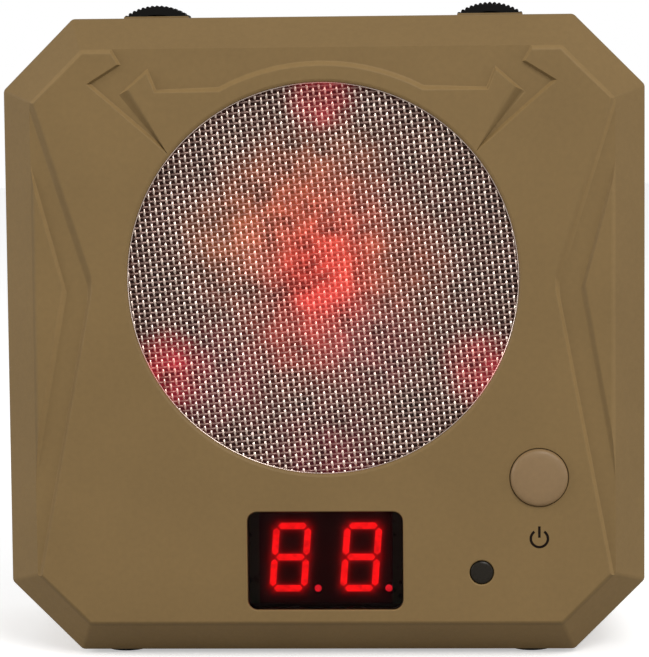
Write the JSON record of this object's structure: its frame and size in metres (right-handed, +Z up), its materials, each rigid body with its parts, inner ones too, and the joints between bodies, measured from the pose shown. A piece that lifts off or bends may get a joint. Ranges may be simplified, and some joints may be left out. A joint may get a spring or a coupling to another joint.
{
  "type": "electronic game caller",
  "caption": "Portable electronic game caller: octagonal case with a meshed loudspeaker, digit display, power button, top thumbwheels and a hinged battery door.",
  "frame": {"origin": "on the ground under the case, midway between its sides and midway between the button's face and the back", "axes": "+Z up, the front with loudspeaker and display faces -Y, +X to the right seen from the front"},
  "size_m": [0.13, 0.0644, 0.1331],
  "materials": {
    "case_plastic": "fine matt texture",
    "button_plastic": "satin",
    "black_plastic": "moulded matt",
    "window_plastic": "gloss",
    "ir_plastic": "gloss",
    "digit_plastic": "matt face with red segments",
    "mesh_steel": "drawn wire",
    "plated_steel": "zinc plated",
    "painted_steel": "black paint",
    "nickel_steel": "nickel plated",
    "brass": "turned and knurled",
    "copper_wire": "enamelled winding",
    "ferrite": "ground ferrite",
    "aluminium": "extruded",
    "board": "solder mask",
    "led_red": "clear lens",
    "cloth": "woven",
    "cone_paper": "pressed paper",
    "spider_cloth": "resin-dipped cotton",
    "rubber": "matt",
    "foam": "closed cell",
    "cable_sheath": "satin",
    "cell_wrap": "shrink wrap",
    "chip_epoxy": "moulded epoxy"
  },
  "bodies": {
    "case": {"front_shell": "case_plastic", "rear_shell": "case_plastic", "case_gasket": "rubber", "case_screws": "plated_steel", "rubber_feet": "rubber", "tripod_insert": "brass", "grille_mesh": "mesh_steel", "dust_cloth": "cloth", "grille_ring": "black_plastic", "led_board": "board", "rim_leds": "led_red", "speaker_gasket": "foam", "speaker_basket": "painted_steel", "speaker_surround": "rubber", "spider": "spider_cloth", "top_plate": "plated_steel", "magnet": "ferrite", "back_plate": "plated_steel", "speaker_screws": "plated_steel", "speaker_leads": "cable_sheath", "display_window": "window_plastic", "digit_module_left": "digit_plastic", "digit_module_right": "digit_plastic", "front_board": "board", "ir_window": "ir_plastic", "ir_receiver": "ir_plastic", "power_switch": "black_plastic", "volume_pot": "black_plastic", "tone_pot": "black_plastic", "pot_board": "board", "main_board": "board", "board_screws": "plated_steel", "amplifier_chip": "chip_epoxy", "heatsink": "aluminium", "processor_chip": "chip_epoxy", "capacitors": "aluminium", "usb_socket": "nickel_steel", "card_socket": "nickel_steel", "aux_socket": "black_plastic", "ribbon_cable": "cable_sheath", "battery_tray": "black_plastic", "battery_cell_upper": "cell_wrap", "battery_cell_lower": "cell_wrap", "contact_plates": "nickel_steel", "contact_springs": "nickel_steel", "battery_leads": "cable_sheath", "door_hinge_pin": "plated_steel"},
    "button": {"power_button": "button_plastic", "switch_plunger": "black_plastic"},
    "volume": {"volume_wheel": "black_plastic", "volume_shaft": "nickel_steel", "volume_wheel_screw": "plated_steel"},
    "tone": {"tone_wheel": "black_plastic", "tone_shaft": "nickel_steel", "tone_wheel_screw": "plated_steel"},
    "cone": {"speaker_cone": "cone_paper", "dust_cap": "cone_paper", "voice_coil": "copper_wire"},
    "door": {"battery_door": "case_plastic", "door_seal": "foam"}
  },
  "joints": [
    {"name": "power_button_press", "type": "slide", "parent": "case", "child": "button", "axis": [0, 1, 0], "range_m": [0, 0.001], "stiffness_N_per_m": 600, "springref_m": -0.001},
    {"name": "volume_turn", "type": "hinge", "parent": "case", "child": "volume", "pos_m": [-0.034, -0.015, 0.1218], "axis": [0, -1, 0], "range_deg": [-135, 135]},
    {"name": "tone_turn", "type": "hinge", "parent": "case", "child": "tone", "pos_m": [0.034, -0.015, 0.1218], "axis": [0, -1, 0], "range_deg": [-135, 135]},
    {"name": "cone_travel", "type": "slide", "parent": "case", "child": "cone", "axis": [0, -1, 0], "range_m": [-0.001, 0.001], "stiffness_N_per_m": 1200},
    {"name": "battery_door_swing", "type": "hinge", "parent": "case", "child": "door", "pos_m": [0, 0.0304, 0.0138], "axis": [-1, 0, 0], "range_deg": [0, 95]}
  ]
}
